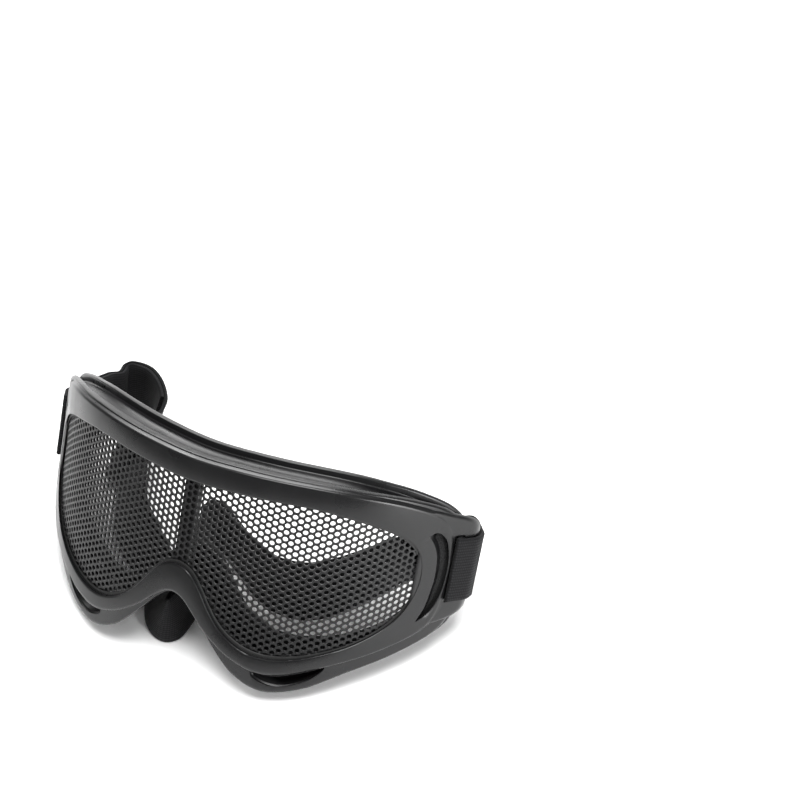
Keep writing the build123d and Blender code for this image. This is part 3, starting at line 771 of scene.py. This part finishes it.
def ribbon(name, spots):
    """Webbing through a line of middles and upward directions, mapped along and across."""
    half = WIDTH / 2000
    near_edge = half - SELVEDGE
    inner = [half * share for share in (-0.75, -0.5, -0.25, 0, 0.25, 0.5, 0.75)]
    places = [-half, -near_edge] + inner + [near_edge, half]
    loops, along = [], []
    for i, (middle, up) in enumerate(spots):
        forward = (spots[min(i + 1, len(spots) - 1)][0] - spots[max(i - 1, 0)][0]).normalized()
        out = forward.cross(up).normalized()
        along.append(along[-1] + (middle - spots[i - 1][0]).length if i else 0)
        faces = []
        for face in (1, -1):
            for across in places[::face]:
                stand = THICKNESS / 2000 * (SELVEDGE_SHARE if abs(across) == half else 1)
                faces.append(middle + up * across + out * face * stand)
        loops.append(faces)
    piece = drawn(name, loops)
    across_of = places + places[::-1]
    spot = [entry.value for entry in piece.data.attributes["spot"].data]
    stage = [entry.value for entry in piece.data.attributes["stage"].data]
    layer = piece.data.uv_layers.active
    for corner in piece.data.loops:
        i = corner.vertex_index
        layer.data[corner.index].uv = (along[stage[i]], across_of[spot[i]])
    smoothed(piece, 60)
    return piece


def leg_path(side, corners, radii):
    """The webbing's way round a lug's bar, seen along the lug's slot."""
    up = LEG_UP.normalized()
    path = turned_path(corners, radii)
    return [(placed(side * x, depth, SLOT_MIDDLE), up) for x, depth in path]


# The doubled layer inside the left fold, the left loop, the run, and the right loop to its end
spots = []
for step in range(STEPS * DOUBLED, 0, -1):
    middle, up = on_route(step / STEPS)
    following, _ = on_route(step / STEPS + AHEAD)
    sideways = (following - middle).normalized().cross(up)
    spots.append((middle + sideways * LAYER_STEP / 1000, up))
spots += leg_path(-1, [
    (LEG - LAYER_STEP, LEG_DEPTH), (LEG - LAYER_STEP, bar_rear + 6), (IN_SLOT, bar_rear + 1),
    (IN_SLOT, in_front[0]), (LEG, in_front[1]), (LEG, LOOP_DEPTH),
], (2, 1.5, 1.2, 1.6))
spots += [on_route(step / STEPS) for step in range(STEPS * (len(route) - 1) + 1)]
inner_leg = right_corner + Vector((-INWARD.y, INWARD.x)) * 1.5
meeting = inner_leg + INWARD * (inner_leg.x - IN_SLOT) / -INWARD.x
spots += leg_path(1, [
    right_leg - INWARD * 2, right_corner, (LEG, in_front[1]), (IN_SLOT, in_front[0]), meeting,
    meeting + INWARD * 7,
], (1.5, 1.6, 1.2, 2))
strap = ribbon("strap_webbing", spots)
# Woven elastic: covered rubber warps lie side by side as fine ribs along the strap, and the weft
# crosses them. The ribs are drawn at 1.1 mm, a little coarser than real, so that they show.
RIB = 0.0011
WEFT = 0.0008
WAVE = 0.314  # a wave texture's scale times the distance between its bands
webbing, shader = new_material(
    "black_woven_elastic", Base_Color=linear("#121213"), Roughness=0.85, IOR=1.45,
    Specular_IOR_Level=0.2, Sheen_Weight=0.03,
)
place = node(webbing, "TexCoord")
ribs = node(
    webbing, "TexWave", {"bands_direction": "Y", "Scale": WAVE / RIB}, {"Vector": (place, "UV")},
)
weft = node(
    webbing, "TexWave",
    {"bands_direction": "X", "Scale": WAVE / WEFT, "Distortion": 1.5, "Detail": 1},
    {"Vector": (place, "UV")},
)
fuzz = node(webbing, "TexNoise", {"Scale": 1800, "Detail": 3}, {"Vector": (place, "Object")})
weave = node(webbing, "Math", {"operation": "MULTIPLY"}, {0: (ribs, "Fac"), 1: (weft, "Fac")})
# The weave is the strap's own, but its colour follows its height: painted shade in the grooves
# between threads, painted highlight where ribs and weft rise together
weave_shade_and_highlight = node(webbing, "ValToRGB", links={"Fac": (weave, "Value")})
weave_shade_and_highlight.color_ramp.elements[0].color = linear("#060607")
weave_shade_and_highlight.color_ramp.elements[1].color = linear("#1f1f21")
rib_relief = node(
    webbing, "Bump", {"Strength": 0.45, "Distance": 0.0002}, {"Height": (ribs, "Fac")},
)
weft_relief = node(
    webbing, "Bump", {"Strength": 0.3, "Distance": 0.00012},
    {"Height": (weft, "Fac"), "Normal": (rib_relief, "Normal")},
)
fuzz_relief = node(
    webbing, "Bump", {"Strength": 0.2, "Distance": 0.0001},
    {"Height": (fuzz, "Fac"), "Normal": (weft_relief, "Normal")},
)
link(webbing, weave_shade_and_highlight, "Color", shader, "Base Color")
link(webbing, fuzz_relief, "Normal", shader, "Normal")
finished(strap, webbing)
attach(strap, "goggles")
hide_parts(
    "strap_loop_left", "strap_fold_outer", "strap_fold_inner", "strap_run_left",
    "strap_bight", "strap_run_right", "strap_end_right", "strap_loop_right",
)

# Stitches: two upright rows of bonded polyester thread through the strap's right end, seen on
# both its faces, and two more on the slide's tab. Each goes down into the webbing at both ends.
STITCH = [(-1.3, -0.3), (-1.0, 0.1), (-0.4, 0.22), (0.4, 0.22), (1.0, 0.1), (1.3, -0.3)]
STITCH_STEP = 0.0033
STITCHES_UP = 3
THREAD_RADIUS = 0.00028
END_SEAMS = (1.5, 5)
END_FACE = 0.0007
OTHER_FACE = 0.0022


def seam(name, lines, up, out):
    """Upright rows of stitches across the webbing, each a short thread sunk at both its ends."""
    made = []
    across = out.cross(up)
    turns = [(across * cos(k * pi / 3) + out * sin(k * pi / 3)) * THREAD_RADIUS for k in range(6)]
    for line in lines:
        for i in range(-STITCHES_UP, STITCHES_UP + 1):
            middle = line + up * STITCH_STEP * i
            rings = []
            for along, rise in STITCH:
                centre = middle + (up * along + out * rise) / 1000
                rings.append([centre + side for side in turns])
            made.append(drawn(name, rings))
    bpy.ops.object.select_all(action="DESELECT")
    for thread in made:
        thread.select_set(True)
    bpy.context.view_layer.objects.active = made[0]
    bpy.ops.object.join()
    smoothed(made[0], 60)
    return made[0]


# Sewing thread: bonded polyester, black, with the faint gloss and diagonal lines of its twist
TWIST = 0.0004
thread_polyester, shader = new_material(
    "black_bonded_polyester", Base_Color=linear("#161617"), Roughness=0.5, IOR=1.5,
)
place = node(thread_polyester, "TexCoord")
ply = node(
    thread_polyester, "TexWave", {"bands_direction": "DIAGONAL", "Scale": WAVE / TWIST},
    {"Vector": (place, "Object")},
)
twist = node(
    thread_polyester, "Bump", {"Strength": 0.4, "Distance": 0.0001}, {"Height": (ply, "Fac")},
)
link(thread_polyester, twist, "Normal", shader, "Normal")


def finish_seam(piece, body, cad_node):
    finished(piece, thread_polyester)
    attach(piece, body)
    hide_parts(cad_node)


sewn_up = LEG_UP.normalized()
sewn_out = level(-INWARD.y, INWARD.x)
sewn_at = [placed(*(meeting + INWARD * along), SLOT_MIDDLE) for along in END_SEAMS]
inner_seam = seam(
    "stitching_right_inside", [at + sewn_out * END_FACE for at in sewn_at], sewn_up, sewn_out,
)
outer_seam = seam(
    "stitching_right_outside", [at - sewn_out * OTHER_FACE for at in sewn_at], sewn_up, -sewn_out,
)
finish_seam(inner_seam, "goggles", "strap_stitching_right")
finish_seam(outer_seam, "goggles", "strap_stitching_right")

# Strap slide: a moulded adjuster with two outer bars and a middle bar on the other side of the
# strap. Its solid has the real shape and only gets its plastic: acetal from an etched mould,
# even and waxy, duller and a little greyer than the frame.
slide_plastic, shader = new_material(
    "black_moulded_acetal", Base_Color=linear("#151516"), Roughness=0.5, IOR=1.48,
)
place = node(slide_plastic, "TexCoord")
grain = node(
    slide_plastic, "TexNoise", {"Scale": 2200, "Detail": 3}, {"Vector": (place, "Object")},
)
wear = node(slide_plastic, "MapRange", {"To Min": 0.42, "To Max": 0.6}, {"Value": (grain, "Fac")})
etch = node(
    slide_plastic, "Bump", {"Strength": 0.12, "Distance": 0.0001}, {"Height": (grain, "Fac")},
)
link(slide_plastic, wear, "Result", shader, "Roughness")
link(slide_plastic, etch, "Normal", shader, "Normal")
for material_slot in bpy.data.objects["strap_slide"].material_slots:
    material_slot.material = slide_plastic

# Slide tab: the webbing's inner end, passed round the slide's middle bar and sewn back on
# itself. It moves with the slide.
SLIDE_STATION = 9
SLIDE_AHEAD = 0.0078
TAB = [(-12, -1.7), (2.98, -1.7), (2.98, -5.0), (-2.0, -5.0), (-4.5, -3.2), (-11.9, -3.2)]
TAB_FACE = 0.0039
TAB_SEAMS = (-0.0065, -0.0095)
run_middle, run_up = on_route(SLIDE_STATION)
run_next, _ = on_route(SLIDE_STATION + AHEAD)
run_forward = (run_next - run_middle).normalized()
run_out = run_forward.cross(run_up)
slide_middle = run_middle + run_forward * SLIDE_AHEAD
tab = ribbon("strap_slide_tab_webbing", [
    (slide_middle + (run_forward * x - run_out * out) / 1000, run_up)
    for x, out in turned_path(TAB, (1.6, 1.6, 1, 1))
])
finished(tab, webbing)
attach(tab, "adjuster")
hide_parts("strap_slide_tab")
tab_face = slide_middle + run_out * TAB_FACE
tab_seam = seam("stitching_slide", [tab_face + run_forward * x for x in TAB_SEAMS], run_up, run_out)
finish_seam(tab_seam, "adjuster", "strap_stitching_slide")

# Floor: a white table top, seamless as in a product photograph, set a hair below the goggles.
# Painted board, matt: it shows soft shadows and no reflections.
bpy.ops.object.select_all(action="DESELECT")
bpy.ops.mesh.primitive_plane_add(size=8, location=(0, 0, -0.0002))
floor = bpy.context.object
floor.name = "floor"
paper, shader = new_material(
    "white_table", Base_Color=linear("#fbfbfb"), Roughness=0.9, Specular_IOR_Level=0.1,
)
floor.data.materials.append(paper)

# Light: a large soft box overhead, a low one behind that draws the sheen along the brow, and one
# at the right for the rim's end, in a dim room. Each has its place, its size and its power.
LAMPS = [
    ("top", (0.2, 0.0, 1.4), 0.8, 34),
    ("back", (-0.6, 1.4, 0.7), 0.6, 14),
    ("right", (1.2, -0.3, 0.35), 0.5, 14),
]
AIM = Vector((0, 0, 0.03))
for label, spot, size, power in LAMPS:
    turned = (AIM - Vector(spot)).to_track_quat("-Z", "Y").to_euler()
    bpy.ops.object.light_add(type="AREA", location=spot, rotation=turned)
    lamp = bpy.context.object
    lamp.name = label + "_light"
    lamp.data.size = size
    lamp.data.energy = power
world = bpy.data.worlds.new("studio")
bpy.context.scene.world = world
world.use_nodes = True
background = world.node_tree.nodes["Background"]
background.inputs["Color"].default_value = (1, 1, 1, 1)
background.inputs["Strength"].default_value = 0.33
bpy.context.scene.view_settings.view_transform = "Standard"
